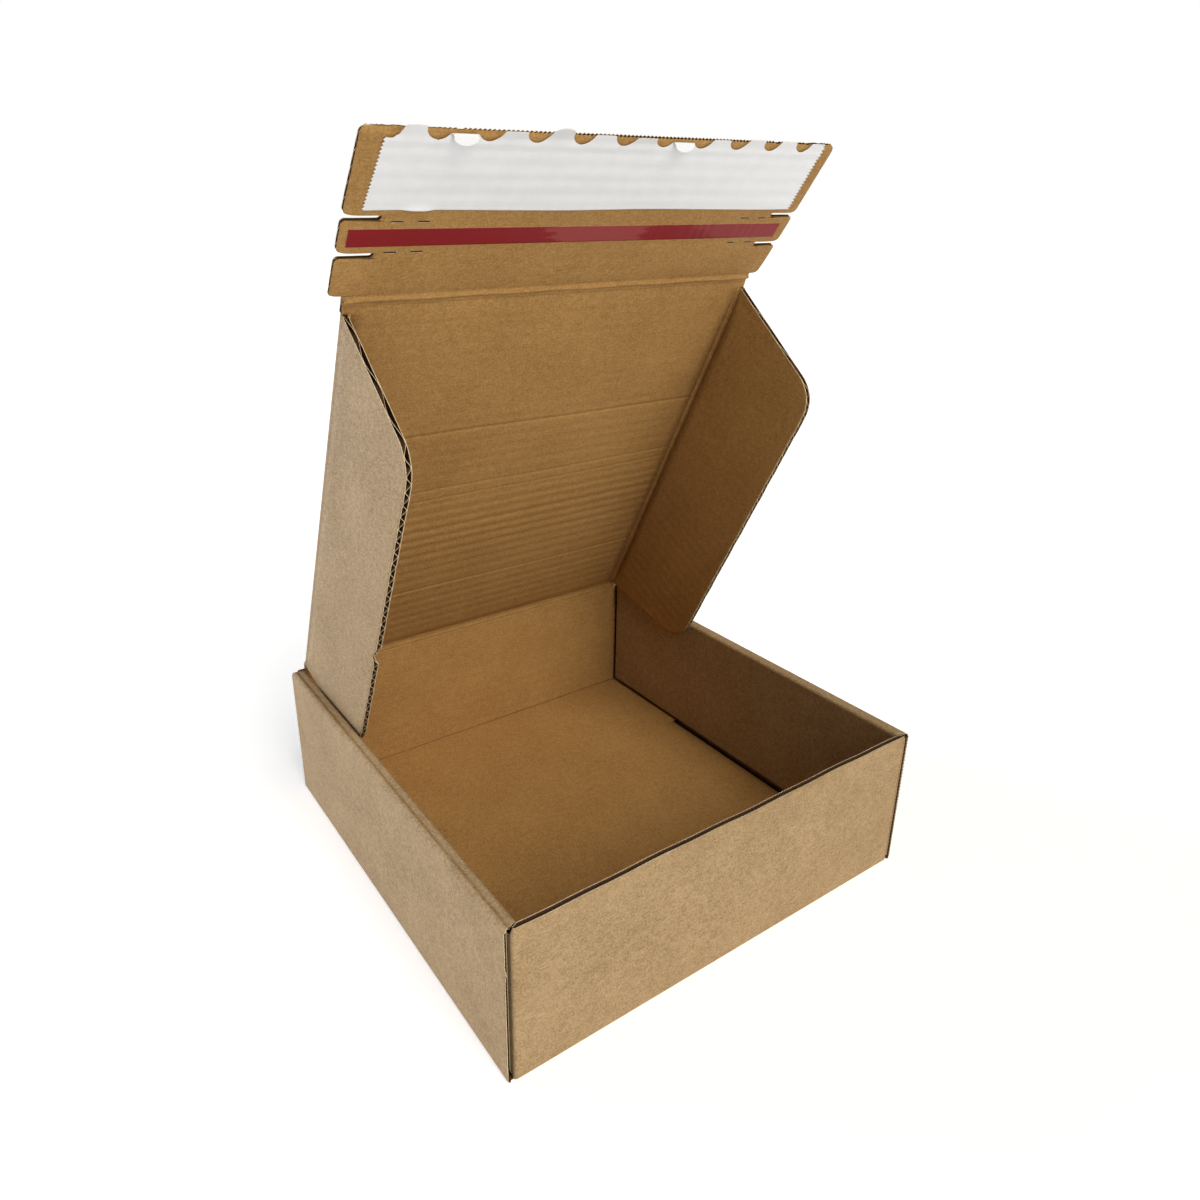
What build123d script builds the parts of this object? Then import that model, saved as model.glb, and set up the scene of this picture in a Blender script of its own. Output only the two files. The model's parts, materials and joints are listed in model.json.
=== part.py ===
"""Open roll-end mailing box of B-flute kraft board, folded from one die-cut blank.

Millimetres, +Z up. The origin is the centre of the tray's underside. The front wall
faces -Y and the lid is hinged along the top of the back wall, on the +Y side.
"""
from build123d import *
import math
import os

os.makedirs("parts", exist_ok=True)

# ---------------------------------------------------------------- driving sizes
BOARD = 2.8                 # thickness of the corrugated board
WIDTH = 240.0               # tray, over the outer side walls
DEPTH = 240.0               # tray, over the front and back walls
WALL_HEIGHT = 79.0          # top of the front wall and of the side walls
SIDE_THICKNESS = 7.2        # rolled-over side: outer wall, tucked flap, inner panel
LAYER_GAP = 0.15            # air between two layers of board that lie together
FOLD_GAP = 0.15             # air between the two panels of a crease that moves
WALL_CLEARANCE = 0.5        # lid and ears, inside the inner side panels
SEAT_CLEARANCE = 0.3        # closed lid above the walls, closed flap before the front

LID_OPEN = 63.0             # degrees the lid stands open from closed
FLAP_FOLD = 9.7             # degrees the front flap is folded in from the lid's plane

DUST_FLAP_LENGTH = 66.0     # tongues folded back from the front and back walls
DUST_FLAP_TRIM = 1.5        # their top and bottom edges, clear of floor and strip
TAB_LENGTH = 94.0           # locking tab under each inner side panel
TAB_PLAY = 1.4              # slot beyond each end of the tab
SLOT_MARGIN = 2.2           # slot beyond the inner face of the inner side panel
TAB_END = 0.4               # tab stops this far above the underside
PANEL_FRONT_GAP = 1.0       # inner side panel to the front wall
PANEL_BACK_GAP = 2.6        # inner side panel to the back wall
PANEL_FOOT = 31.0           # stretch at each end of the panel's lower edge, cut higher
PANEL_FOOT_RISE = 2.2
FLOOR_FOLD = 1.6            # outer radius of the folds round the floor
WALL_FOLD = 1.8             # outer radius of the upright folds of front and back walls
STRIP_FOLD = 2.2            # outer radius of the folds along the side walls' tops

EAR_DEPTH = 74.0            # from the lid's mid-plane to the ear's free edge
EAR_BACK = 2.4              # start of the ear's fold, from the lid hinge
EAR_FRONT = 6.0             # end of the ear's fold, short of the front crease
EAR_TAPER = 14.0            # degrees that both ends of an ear lean inwards
EAR_BACK_RADIUS = 21.0
EAR_FRONT_RADIUS = 17.0

FLAP_LENGTH = 75.8          # front crease to the flap's free edge
FLAP_INSET = 1.7            # flap edge inside the tray's side, each end
FLAP_NECK = 2.4             # flap stays as narrow as the lid this far past the crease
FLAP_CORNER = 3.0           # radius of the flap's outer corners
NECK_CORNER = 0.8
TEAR_LOW = 22.9             # lower edge of the tear strip, from the front crease
TEAR_HIGH = 36.9            # upper edge of the tear strip
NOTCH_WIDTH = 3.0           # finger notches beside the tear strip
NOTCH_LENGTH = 15.7
NOTCH_CORNER = 1.9          # rounded mouth of a notch
SLIT_LENGTH = 5.3           # perforation slits that carry on from the notches
SLIT_WIDTH = 0.5
SLIT_START = 3.6            # notch end to the first slit
SLIT_PITCH = 11.3
SLIT_COUNT = 2

TAPE_WIDTH = 8.0            # tear tape on the tear strip
TAPE_END = 4.1              # tape end to the tray's side line
TAPE_THICKNESS = 0.1
GLUE_WIDTH = 24.0           # pressure-sensitive adhesive band
GLUE_THICKNESS = 0.15
GLUE_MARGIN = 2.5           # bare liner below the adhesive and at its ends
LINER_LOW = 42.2            # lower edge of the release liner, from the front crease
LINER_OVERHANG = 2.2        # liner lobes past the flap's free edge
LINER_END = 8.0             # liner end to the tray's side line
LINER_THICKNESS = 0.1
SCALLOP_PITCH = 20.55       # finger-lift cut-outs along the liner's upper edge
SCALLOP_COUNT = 12
SCALLOP_SHIFT = 3.0         # middle of the row, to the right of the flap's middle
SCALLOP_RADIUS = 5.4
SCALLOP_DEPTH = 5.3
TOOTH_PITCH = 2.2           # zigzag of the liner's cut ends
TOOTH_DEPTH = 1.0

# ---------------------------------------------------------------- worked-out places
half_width = WIDTH / 2
half_depth = DEPTH / 2
inner_face = half_width - SIDE_THICKNESS          # inner face of an inner side panel
layer_out = half_width - BOARD - LAYER_GAP        # outer face of a tucked dust flap
layer_in = inner_face + BOARD + LAYER_GAP         # inner face of a tucked dust flap
panel_front = -half_depth + BOARD + PANEL_FRONT_GAP
panel_back = half_depth - BOARD - PANEL_BACK_GAP
foot_height = BOARD + LAYER_GAP

hinge_y = half_depth - BOARD / 2
hinge_z = WALL_HEIGHT + SEAT_CLEARANCE + BOARD / 2
lid_length = DEPTH + SEAT_CLEARANCE               # hinge to front crease
lid_half = inner_face - WALL_CLEARANCE            # half the width of the lid
crease_gap = BOARD / 2 + FOLD_GAP                 # a creased panel starts this far on


def panel_plane(origin, degrees_open):
    """Plane in a raised panel's mid-thickness: local Y runs up the panel, Z inwards."""
    angle = math.radians(degrees_open)
    return Plane(origin=origin, x_dir=(1, 0, 0), z_dir=(0, -math.sin(angle), -math.cos(angle)))


lid_plane = panel_plane((0, hinge_y, hinge_z), LID_OPEN)
front_crease = lid_plane.from_local_coords(Vector(0, lid_length, 0))
flap_plane = panel_plane(front_crease, LID_OPEN - FLAP_FOLD)
flap_half = half_width - FLAP_INSET

# ---------------------------------------------------------------- tray
# One folded piece: floor, front and back walls with dust flaps turned in at their
# ends, and side walls rolled over the dust flaps and locked by a tab in the floor.
slot_outer = half_width - BOARD
slot_inner = inner_face - SLOT_MARGIN
slot_length = TAB_LENGTH + 2 * TAB_PLAY
panel_length = panel_back - panel_front
panel_middle = (panel_back + panel_front) / 2

with BuildPart() as tray:
    with BuildSketch(Plane.XY):
        Rectangle(WIDTH, DEPTH)
        for side in (-1, 1):
            with Locations((side * (slot_outer + slot_inner) / 2, panel_middle)):
                Rectangle(slot_outer - slot_inner, slot_length, mode=Mode.SUBTRACT)
    extrude(amount=BOARD)
    # outer side walls, whose front and back ends are cut edges
    for side in (-1, 1):
        with BuildSketch(Plane.XY):
            with Locations((side * (half_width - BOARD / 2), 0)):
                Rectangle(BOARD, DEPTH)
        extrude(amount=WALL_HEIGHT)
    # front wall, cut along its top, and back wall, both rounded at their upright folds
    for end in (-1, 1):
        with BuildSketch(Plane.XY):
            with Locations((0, end * (half_depth - BOARD / 2))):
                wall = Rectangle(2 * layer_out, BOARD)
            fillet(wall.vertices().group_by(Axis.Y)[0 if end < 0 else -1], WALL_FOLD)
        extrude(amount=WALL_HEIGHT)
    # the back wall's upper edge, rounded over at the crease that carries the lid
    with BuildSketch(Plane.YZ):
        with Locations((hinge_y, (hinge_z + WALL_HEIGHT - BOARD) / 2)):
            Rectangle(BOARD, hinge_z - WALL_HEIGHT + BOARD)
        with Locations((hinge_y, hinge_z)):
            Circle(BOARD / 2)
    extrude(amount=lid_half, both=True)
    # dust flaps, between the two layers of each side
    for side in (-1, 1):
        for end in (-1, 1):
            with BuildSketch(Plane.XY.offset(BOARD + DUST_FLAP_TRIM)):
                with Locations((side * (layer_out + layer_in) / 2,
                                end * (half_depth - BOARD - DUST_FLAP_LENGTH / 2 + 1))):
                    Rectangle(layer_out - layer_in, DUST_FLAP_LENGTH + 2)
            extrude(amount=WALL_HEIGHT - 2 * (BOARD + DUST_FLAP_TRIM))
    # strip over the top of each side, and the inner panel with its locking tab
    for side in (-1, 1):
        with BuildSketch(Plane.XY.offset(WALL_HEIGHT - BOARD)):
            with Locations((side * (half_width - SIDE_THICKNESS / 2), panel_middle)):
                Rectangle(SIDE_THICKNESS, panel_length)
        extrude(amount=BOARD)
        with BuildSketch(Plane.YZ.offset(side * inner_face)):
            with BuildLine():
                Polyline(
                    (panel_front, WALL_HEIGHT),
                    (panel_front, foot_height + PANEL_FOOT_RISE),
                    (panel_front + PANEL_FOOT, foot_height + PANEL_FOOT_RISE),
                    (panel_front + PANEL_FOOT, foot_height),
                    (panel_middle - TAB_LENGTH / 2, foot_height),
                    (panel_middle - TAB_LENGTH / 2, TAB_END),
                    (panel_middle + TAB_LENGTH / 2, TAB_END),
                    (panel_middle + TAB_LENGTH / 2, foot_height),
                    (panel_back - PANEL_FOOT, foot_height),
                    (panel_back - PANEL_FOOT, foot_height + PANEL_FOOT_RISE),
                    (panel_back, foot_height + PANEL_FOOT_RISE),
                    (panel_back, WALL_HEIGHT),
                    close=True,
                )
            make_face()
        extrude(amount=side * BOARD)
    strip_folds = (
        tray.edges()
        .filter_by(Axis.Y)
        .filter_by(lambda edge: abs(edge.center().Z - WALL_HEIGHT) < 0.01)
        .filter_by(lambda edge: abs(edge.center().X) > half_width - 0.01)
    )
    fillet(strip_folds, STRIP_FOLD)
    floor_folds = (
        tray.edges()
        .filter_by(lambda edge: edge.geom_type == GeomType.LINE)
        .filter_by(lambda edge: abs(edge.center().Z) < 0.01)
        .filter_by(lambda edge: max(abs(edge.center().X) - half_width,
                                    abs(edge.center().Y) - half_depth) > -0.01)
    )
    fillet(floor_folds, FLOOR_FOLD)
tray.part.label = "tray"
export_step(tray.part, "parts/tray.step")

# ---------------------------------------------------------------- lid
with BuildPart() as lid_panel:
    with BuildSketch(lid_plane.offset(-BOARD / 2)):
        with Locations((0, (crease_gap + lid_length) / 2)):
            Rectangle(2 * lid_half, lid_length - crease_gap)
    extrude(amount=BOARD)
    side_folds = (
        lid_panel.edges()
        .filter_by(lambda edge: abs(abs(edge.center().X) - lid_half) < 0.01)
        .filter_by(lambda edge: edge.length > lid_length / 2)
        .filter_by(lambda edge: lid_plane.to_local_coords(edge.center()).Z < 0)
    )
    fillet(side_folds, BOARD - LAYER_GAP)
    with BuildSketch(Plane(origin=front_crease, x_dir=(0, 1, 0), z_dir=(1, 0, 0))):
        Circle(BOARD / 2)
    extrude(amount=lid_half - BOARD, both=True)
lid_panel.part.label = "lid_panel"
export_step(lid_panel.part, "parts/lid_panel.step")

# ---------------------------------------------------------------- ears
# Each ear hangs from a side of the lid. Both ends lean in, and the corners are round.
ear_lean = EAR_DEPTH * math.tan(math.radians(EAR_TAPER))
ear_front = lid_length - EAR_FRONT
ear_inner = lid_half - BOARD                      # crease line at the lid's inner face


def ear(side):
    """Ear on the left (-1) or right (1) side of the lid, folded square to it."""
    plane = Plane(
        origin=lid_plane.from_local_coords(Vector(side * ear_inner, 0, 0)),
        x_dir=lid_plane.y_dir,
        z_dir=(1, 0, 0),
    )
    with BuildPart() as piece:
        with BuildSketch(plane) as outline:
            with BuildLine():
                Polyline(
                    (EAR_BACK, crease_gap),
                    (EAR_BACK + ear_lean, EAR_DEPTH),
                    (ear_front - ear_lean, EAR_DEPTH),
                    (ear_front, crease_gap),
                    close=True,
                )
            make_face()
            back_corner = outline.vertices().group_by(Axis.Y)[-1].sort_by(Axis.X)[0]
            fillet(back_corner, EAR_BACK_RADIUS)
            front_corner = outline.vertices().group_by(Axis.Y)[-1].sort_by(Axis.X)[-1]
            fillet(front_corner, EAR_FRONT_RADIUS)
        extrude(amount=side * BOARD)
    return piece


left_ear = ear(-1)
left_ear.part.label = "left_ear"
export_step(left_ear.part, "parts/left_ear.step")

right_ear = ear(1)
right_ear.part.label = "right_ear"
export_step(right_ear.part, "parts/right_ear.step")

# ---------------------------------------------------------------- front flap
# A neck as narrow as the lid, then full width; notches and slits bound a tear strip.
with BuildPart() as front_flap:
    with BuildSketch(flap_plane.offset(-BOARD / 2)) as flap_sketch:
        with BuildLine():
            Polyline(
                (-lid_half, crease_gap),
                (-lid_half, FLAP_NECK),
                (-flap_half, FLAP_NECK),
                (-flap_half, FLAP_LENGTH),
                (flap_half, FLAP_LENGTH),
                (flap_half, FLAP_NECK),
                (lid_half, FLAP_NECK),
                (lid_half, crease_gap),
                close=True,
            )
        make_face()
        notch_middles = (TEAR_LOW - NOTCH_WIDTH / 2, TEAR_HIGH + NOTCH_WIDTH / 2)
        for side in (-1, 1):
            for middle in notch_middles:
                with Locations((side * flap_half, middle)):
                    Rectangle(2 * NOTCH_LENGTH, NOTCH_WIDTH, mode=Mode.SUBTRACT)
        vertices = flap_sketch.vertices()
        mouths = vertices.filter_by(
            lambda v: abs(abs(v.X) - flap_half) < 0.01 and FLAP_NECK + 1 < v.Y < FLAP_LENGTH - 1
        )
        fillet(mouths, NOTCH_CORNER)
        notch_ends = flap_sketch.vertices().filter_by(
            lambda v: abs(abs(v.X) - flap_half + NOTCH_LENGTH) < 0.01
        )
        fillet(notch_ends, NOTCH_WIDTH / 2 - 0.05)
        fillet(flap_sketch.vertices().group_by(Axis.Y)[-1], FLAP_CORNER)
        neck_steps = flap_sketch.vertices().filter_by(
            lambda v: abs(abs(v.X) - flap_half) < 0.01 and abs(v.Y - FLAP_NECK) < 0.01
        )
        fillet(neck_steps, NECK_CORNER)
        for side in (-1, 1):
            for edge in (TEAR_LOW, TEAR_HIGH):
                for count in range(SLIT_COUNT):
                    reach = NOTCH_LENGTH + SLIT_START + SLIT_LENGTH / 2 + count * SLIT_PITCH
                    with Locations((side * (flap_half - reach), edge)):
                        Rectangle(SLIT_LENGTH, SLIT_WIDTH, mode=Mode.SUBTRACT)
    extrude(amount=BOARD)
front_flap.part.label = "front_flap"
export_step(front_flap.part, "parts/front_flap.step")

# ---------------------------------------------------------------- tear tape
flap_face = flap_plane.offset(BOARD / 2)
tear_middle = (TEAR_LOW + TEAR_HIGH) / 2
with BuildPart() as tear_tape:
    with BuildSketch(flap_face):
        with Locations((0, tear_middle)):
            Rectangle(WIDTH - 2 * TAPE_END, TAPE_WIDTH)
    extrude(amount=TAPE_THICKNESS)
tear_tape.part.label = "tear_tape"
export_step(tear_tape.part, "parts/tear_tape.step")

# ---------------------------------------------------------------- adhesive band
liner_half = half_width - LINER_END
with BuildPart() as closure_adhesive:
    with BuildSketch(flap_face):
        with Locations((0, LINER_LOW + GLUE_MARGIN + GLUE_WIDTH / 2)):
            Rectangle(2 * (liner_half - GLUE_MARGIN), GLUE_WIDTH)
    extrude(amount=GLUE_THICKNESS)
closure_adhesive.part.label = "closure_adhesive"
export_step(closure_adhesive.part, "parts/closure_adhesive.step")

# ---------------------------------------------------------------- release liner
# Zigzag cut ends, and half-round finger lifts along the upper edge.
liner_high = FLAP_LENGTH + LINER_OVERHANG
tooth_count = int((liner_high - LINER_LOW) / TOOTH_PITCH)
tooth_pitch = (liner_high - LINER_LOW) / tooth_count
right_end = [
    (liner_half - TOOTH_DEPTH * (step % 2), LINER_LOW + step * tooth_pitch / 2)
    for step in range(2 * tooth_count + 1)
]
left_end = [(-x, y) for x, y in reversed(right_end)]
with BuildPart() as release_liner:
    with BuildSketch(flap_face.offset(GLUE_THICKNESS)):
        with BuildLine():
            Polyline(*right_end, *left_end, close=True)
        make_face()
        with Locations((SCALLOP_SHIFT, liner_high + SCALLOP_RADIUS - SCALLOP_DEPTH)):
            with GridLocations(SCALLOP_PITCH, 0, SCALLOP_COUNT, 1):
                Circle(SCALLOP_RADIUS, mode=Mode.SUBTRACT)
    extrude(amount=LINER_THICKNESS)
release_liner.part.label = "release_liner"
export_step(release_liner.part, "parts/release_liner.step")
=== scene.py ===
import json
import math

import bpy
import numpy as np
from mathutils import Euler, Matrix, Vector


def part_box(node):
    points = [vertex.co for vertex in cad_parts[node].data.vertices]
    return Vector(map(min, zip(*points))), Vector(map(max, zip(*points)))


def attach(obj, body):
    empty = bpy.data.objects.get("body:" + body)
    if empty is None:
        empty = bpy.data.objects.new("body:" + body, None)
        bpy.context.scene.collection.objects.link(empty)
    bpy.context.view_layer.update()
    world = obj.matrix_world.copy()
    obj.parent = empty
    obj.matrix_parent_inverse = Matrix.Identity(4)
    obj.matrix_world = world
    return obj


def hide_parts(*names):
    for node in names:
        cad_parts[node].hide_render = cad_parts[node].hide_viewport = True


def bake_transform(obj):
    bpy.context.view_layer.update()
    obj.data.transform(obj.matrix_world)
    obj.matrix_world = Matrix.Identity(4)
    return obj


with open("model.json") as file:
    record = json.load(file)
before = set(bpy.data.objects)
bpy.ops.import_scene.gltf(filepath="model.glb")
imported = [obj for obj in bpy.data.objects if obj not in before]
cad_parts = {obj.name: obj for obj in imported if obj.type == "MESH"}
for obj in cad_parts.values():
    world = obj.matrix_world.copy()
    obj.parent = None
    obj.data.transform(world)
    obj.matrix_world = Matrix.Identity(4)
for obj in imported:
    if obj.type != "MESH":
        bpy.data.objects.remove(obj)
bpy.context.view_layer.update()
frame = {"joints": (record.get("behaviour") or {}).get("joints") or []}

# ---------------------------------------------------------------- camera
# A wide lens held above the front left corner, looking down into the open box.
# Everything below is worked out in millimetres and turned to metres on the way out.
MM = 0.001
CAMERA_PLACE = (-246.8, -343.8, 329.7)
CAMERA_AZIMUTH = 33.83                  # degrees to the right of straight ahead
CAMERA_DOWN = 21.28                     # degrees below the horizon
CAMERA_ROLL = -0.18
camera_data = bpy.data.cameras.new("camera")
camera_data.lens = 26.78
camera_data.shift_x = 0.0371
camera_data.shift_y = -0.0390
camera = bpy.data.objects.new("camera", camera_data)
bpy.context.scene.collection.objects.link(camera)
aim = Euler((math.radians(90 - CAMERA_DOWN), 0, math.radians(-CAMERA_AZIMUTH))).to_matrix()
turn = aim @ Matrix.Rotation(math.radians(CAMERA_ROLL), 3, "Z")
camera.matrix_world = Matrix.Translation(Vector(CAMERA_PLACE) * MM) @ turn.to_4x4()
bpy.context.scene.camera = camera

# ---------------------------------------------------------------- tray
# Floor, front and back walls and rolled-over sides of one sheet of B-flute board: two
# kraft liners glued to a fluted medium, scored, folded and locked by a tab each side.
HALF_WIDTH, HALF_DEPTH = np.array(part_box("tray")[1])[:2] / MM
BOARD = 2.8
SIDE = 7.2                              # thickness of a rolled-over side
WALL_TOP = 79.0
LINER = 0.3                             # paper of the two faces
MEDIUM = 0.22                           # paper of the flutes
FLUTE = 6.6                             # flute pitch
TOOTH = 2.0                             # pitch of the saw-tooth that cut along the flutes
TOOTH_CUT = 0.3
FOLD = 1.7                              # outer radius of a folded edge
FLAP_CRUSHED = 1.3                      # dust flap nipped between the layers of a side


def linear(hex_colour):
    """sRGB hex colour as linear RGBA."""
    value = np.array([int(hex_colour[i:i + 2], 16) for i in (1, 3, 5)]) / 255
    value = np.where(value <= 0.04045, value / 12.92, ((value + 0.055) / 1.055) ** 2.4)
    return (*value, 1.0)


def add(tree, kind, settings=None, **links):
    """Adds a node with its settings; each link is a socket or a value for the named input."""
    node = tree.nodes.new("ShaderNode" + kind)
    for key, value in (settings or {}).items():
        setattr(node, key, value)
    for key, value in links.items():
        wanted = key.replace("_", " ").strip()
        socket = node.inputs[int(wanted[5:])] if wanted.startswith("input") else node.inputs[wanted]
        if isinstance(value, bpy.types.NodeSocket):
            tree.links.new(value, socket)
        else:
            socket.default_value = value
    return node


def bare_material(name):
    """An empty material, with its node tree and the object's own coordinates."""
    material = bpy.data.materials.new(name)
    material.use_nodes = True
    tree = material.node_tree
    tree.nodes.clear()
    return material, tree, add(tree, "TexCoord").outputs["Object"]


def kraft_paper(name, face, fleck, contrast=0.19, relief=1.0):
    """Unbleached kraft liner off a paper machine: matt, mottled, with stray fibres. Tone is
    a weighted sum of five noises, from clouds 30 mm wide down to grain of 1 mm."""
    material, tree, place = bare_material(name)
    clouds = add(tree, "TexNoise", Vector=place, Scale=1 / 0.030, Detail=3.0, Roughness=0.5)
    mottle = add(tree, "TexNoise", Vector=place, Scale=1 / 0.0032, Detail=3.0, Roughness=0.6)
    grain = add(tree, "TexNoise", Vector=place, Scale=1 / 0.0010, Detail=2.0, Roughness=0.55)
    # fibres about 4 mm long and 0.3 mm wide, drawn coarser than real ones so they show
    tilted = add(tree, "Mapping", Vector=place, Rotation=(0.5, 0.4, 0.7), Scale=(250, 2200, 2200))
    fibres = add(tree, "TexNoise", Vector=tilted.outputs[0], Scale=1.0, Detail=2.0)
    crossed = add(tree, "Mapping", Vector=place, Rotation=(-0.6, 0.9, -0.5), Scale=(2000, 300, 2000))
    cross_fibres = add(tree, "TexNoise", Vector=crossed.outputs[0], Scale=1.0, Detail=2.0)
    tone = 0.0
    for noise, weight in ((clouds, 0.25), (mottle, 0.32), (grain, 0.73),
                          (fibres, 0.35), (cross_fibres, 0.35)):
        tone = add(tree, "Math", {"operation": "MULTIPLY_ADD"},
                   input0=noise.outputs[0], input1=weight, input2=tone).outputs[0]
    share = add(tree, "MapRange", Value=tone, From_Min=1 - contrast, From_Max=1 + contrast)
    colour = add(tree, "Mix", {"data_type": "RGBA"}, Factor=share.outputs[0],
                 input6=linear(fleck), input7=linear(face))
    bump = add(tree, "Bump", Height=tone, Strength=0.25 * relief, Distance=0.0003)
    shader = add(tree, "BsdfPrincipled", Base_Color=colour.outputs[2], Normal=bump.outputs[0],
                 Roughness=0.82, IOR=1.5, Specular_IOR_Level=0.35)
    add(tree, "OutputMaterial", Surface=shader.outputs[0])
    return material


# outer face pale and dry; inner face yellower; the flutes' colour is darkened as painted
# shade of the tunnels they lie in; a raw cut shows the bright middle of the paper
outer_kraft = kraft_paper("kraft_liner_outer", "#B49871", "#8A704B", 0.18)
inner_kraft = kraft_paper("kraft_liner_inner", "#B18A51", "#8E6634", 0.23)
flute_kraft_painted_shade = kraft_paper("kraft_fluting_painted_shade", "#5C4028", "#3F2A18", 0.25, 0.5)
cut_edge = kraft_paper("cut_paper_edge", "#E6D4B2", "#C4A97E", 0.2)

# the CAD node that each body's papers stand for
STANDS_FOR = {"tray": "tray", "lid": "lid_panel", "front_flap": "front_flap",
              "left_ear": "left_ear", "right_ear": "right_ear"}


def sheet(name, points, material, body, thickness=LINER, keep=None, hidden=0,
          raw=True, node=None):
    """Paper over a grid of points (rows, columns, xyz, in mm), one quad to a cell.
    keep marks the cells that are there; Solidify gives the paper its thickness, and its
    rim the paler look of a cut edge if it is raw. hidden is 1 or -1 where the side the
    grid faces, or its back, looks into the board: that side gets the flutes' darkened
    paper, painted shade of the inside of the board.
    It rides on body, and stands for node, or for the board that body is."""
    rows, columns = points.shape[:2]
    index = np.arange(rows * columns).reshape(rows, columns)
    quads = np.stack([index[:-1, :-1], index[1:, :-1], index[1:, 1:], index[:-1, 1:]], -1)
    quads = quads[keep] if keep is not None else quads.reshape(-1, 4)
    used, quads = np.unique(quads, return_inverse=True)
    quads = quads.reshape(-1, 4)
    mesh = bpy.data.meshes.new(name)
    mesh.vertices.add(len(used))
    mesh.vertices.foreach_set("co", (points.reshape(-1, 3)[used] * MM).astype(np.float32).ravel())
    mesh.loops.add(quads.size)
    mesh.loops.foreach_set("vertex_index", quads.astype(np.int32).ravel())
    mesh.polygons.add(len(quads))
    mesh.polygons.foreach_set("loop_start", np.arange(0, quads.size, 4, dtype=np.int32))
    mesh.update(calc_edges=True)
    mesh.validate()
    # the side that looks into the board takes the fluting's darkened paper: painted shade of the
    # closed tunnels
    for look in (flute_kraft_painted_shade if hidden > 0 else material,
                 flute_kraft_painted_shade if hidden < 0 else material,
                 cut_edge if raw else material):
        mesh.materials.append(look)
    piece = bpy.data.objects.new(name, mesh)
    bpy.context.scene.collection.objects.link(piece)
    solid = piece.modifiers.new("paper", "SOLIDIFY")
    solid.thickness = thickness * MM
    solid.offset = 0
    solid.material_offset, solid.material_offset_rim = 1, 2
    if body:
        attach(piece, body)
        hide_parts(node or STANDS_FOR[body])
    return piece


def rounded_path(corners, radii, step=1.0):
    """Polyline through corners (n, 2) whose inner corners are arcs of the given radii:
    straight runs are cut in steps, arcs in twelfths of a right angle."""
    corners = np.array(corners, float)
    pieces = []
    start = corners[0]
    for i, radius in enumerate(radii, 1):
        back = (corners[i - 1] - corners[i]) / np.linalg.norm(corners[i - 1] - corners[i])
        on = (corners[i + 1] - corners[i]) / np.linalg.norm(corners[i + 1] - corners[i])
        half = math.acos(np.clip(back @ on, -1, 1)) / 2
        reach = radius / math.tan(half)
        centre = corners[i] + (back + on) / np.linalg.norm(back + on) * radius / math.sin(half)
        enter, leave = corners[i] + back * reach, corners[i] + on * reach
        count = max(2, int(np.linalg.norm(enter - start) / step) + 1)
        pieces.append(start + np.linspace(0, 1, count)[:-1, None] * (enter - start))
        turns = np.linspace(0, 1, max(4, int(12 * (math.pi - 2 * half) / (math.pi / 2))))
        arc = (enter - centre)[None] * np.cos(turns * (math.pi - 2 * half))[:, None]
        side = (leave - centre) - (enter - centre) * math.cos(math.pi - 2 * half)
        side = side / max(math.sin(math.pi - 2 * half), 1e-9)
        pieces.append(centre + arc + side[None] * np.sin(turns * (math.pi - 2 * half))[:, None])
        start = leave
    count = max(2, int(np.linalg.norm(corners[-1] - start) / step) + 1)
    pieces.append(start + np.linspace(0, 1, count)[1:, None] * (corners[-1] - start))
    return np.concatenate(pieces)


def saw(distance):
    """Saw-tooth cut: +-TOOTH_CUT, one tooth each TOOTH along the edge."""
    return TOOTH_CUT * (4 * np.abs((distance / TOOTH) % 1 - 0.5) - 1)


def spaced(start, stop, step, extra=()):
    """Even stations from start to stop, with extra ones where a cut needs them."""
    even = np.linspace(start, stop, max(2, int(round(abs(stop - start) / step)) + 1))
    for place in extra:
        even = np.append(even[np.abs(even - place) > 0.05 * step], place)
    return np.sort(even)


def flute_wave(across):
    """Height of the medium's mid-line: a sine of the flute pitch between the liners."""
    swing = (BOARD - 2 * LINER - MEDIUM) / 2
    return swing * np.sin(2 * np.pi * across / FLUTE)


def washboard(across, depth):
    """Liner drawn in over the flutes: a cosine of the pitch, uneven from flute to flute."""
    uneven = 1 + 0.5 * np.sin(across * 0.83 + 1.3) * np.sin(across * 0.21)
    return -depth * uneven * (0.5 + 0.5 * np.cos(2 * np.pi * across / FLUTE))


def at_plane(p, q, n, origin, p_axis, q_axis, n_axis):
    """Points origin + p*p_axis + q*q_axis + n*n_axis, for arrays p, q and n."""
    p, q, n = np.broadcast_arrays(p, q, n)
    return (np.array(origin) + p[..., None] * np.array(p_axis)
            + q[..., None] * np.array(q_axis) + n[..., None] * np.array(n_axis))


X, Y, Z = np.eye(3)

# floor: flutes run from side to side, with a slot for the tab along each side
SLOT_HALF = 48.4                        # half the slot's length
SLOT_INNER = HALF_WIDTH - SIDE - 1.8
UNDER_SLOT = HALF_WIDTH - SIDE + 2.45   # the lower liner is left a little further in
PANEL_FRONT = -HALF_DEPTH + BOARD + 1.0  # ends of the sides' inner panels
PANEL_BACK = HALF_DEPTH - BOARD - 2.6
PANEL_MIDDLE = (PANEL_FRONT + PANEL_BACK) / 2
wall_inner = HALF_WIDTH - BOARD
floor_x = spaced(-wall_inner, wall_inner, 6, (-SLOT_INNER, SLOT_INNER))
slot_ends = PANEL_MIDDLE + np.array([-SLOT_HALF, SLOT_HALF])
floor_y = spaced(-HALF_DEPTH + BOARD, HALF_DEPTH - BOARD, 0.8, slot_ends)
middle_x = (floor_x[1:] + floor_x[:-1]) / 2
middle_y = (floor_y[1:] + floor_y[:-1]) / 2
board_there = ~((np.abs(middle_x)[None, :] > SLOT_INNER)
                & (np.abs(middle_y - PANEL_MIDDLE)[:, None] < SLOT_HALF))
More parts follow.
